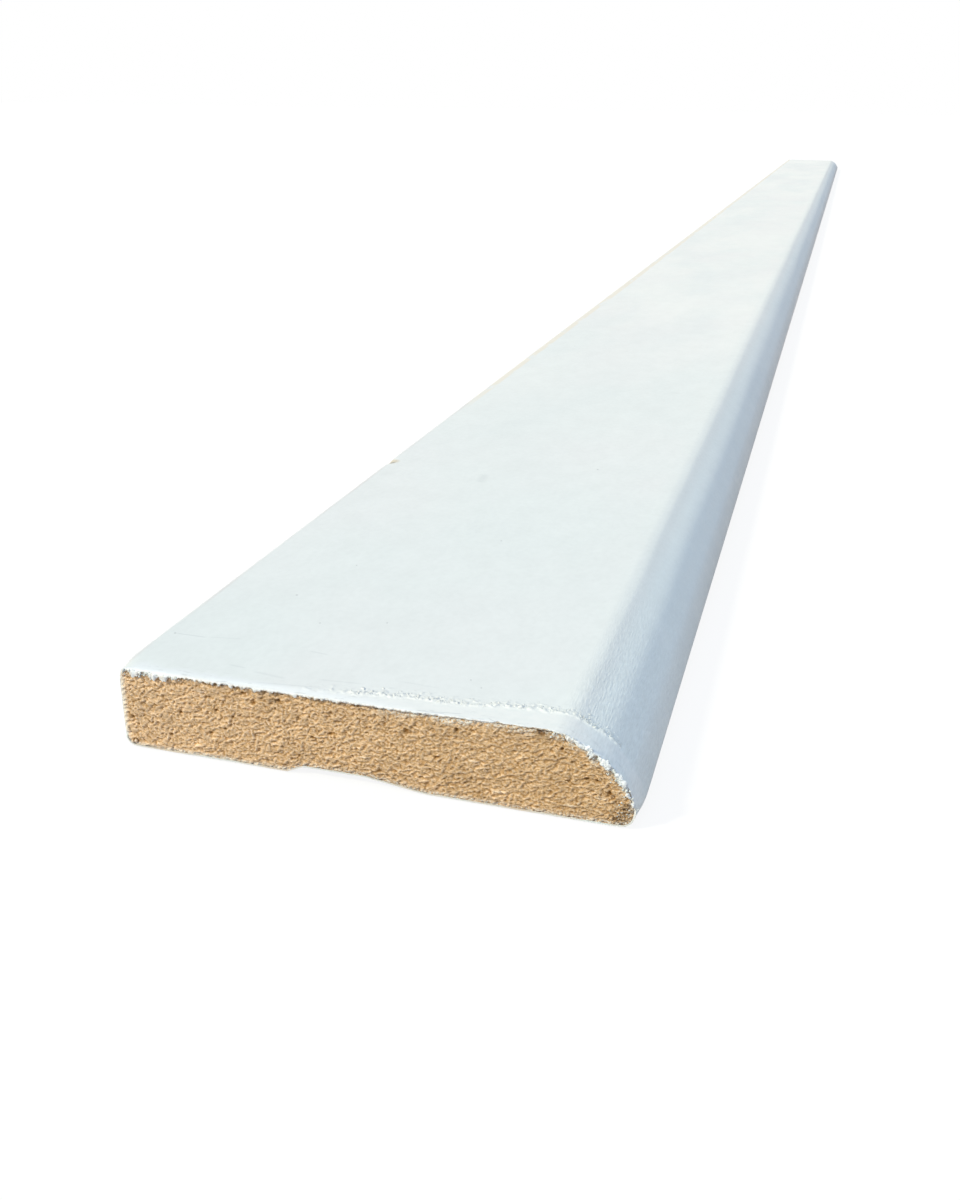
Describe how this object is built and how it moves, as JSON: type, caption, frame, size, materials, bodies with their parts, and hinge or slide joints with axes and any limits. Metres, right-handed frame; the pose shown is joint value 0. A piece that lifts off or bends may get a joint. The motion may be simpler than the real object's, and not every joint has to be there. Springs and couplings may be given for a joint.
{
  "type": "skirting board",
  "caption": "Straight white-primed MDF skirting board with a rounded top edge, a square floor edge and a shallow relief groove along its back.",
  "frame": {"origin": "on the back plane, midway along the board and midway between its square edge and its rounded edge", "axes": "+Y along the length, away from the sawn end that the picture shows; +X across the face, from the square floor edge towards the rounded top edge; +Z out of the face"},
  "size_m": [0.095, 2.4, 0.016],
  "materials": {
    "white_primer": "matt white primer over MDF",
    "raw_mdf": "bare sawn MDF"
  },
  "bodies": {
    "root": {"skirting_board": "white_primer"}
  },
  "joints": []
}
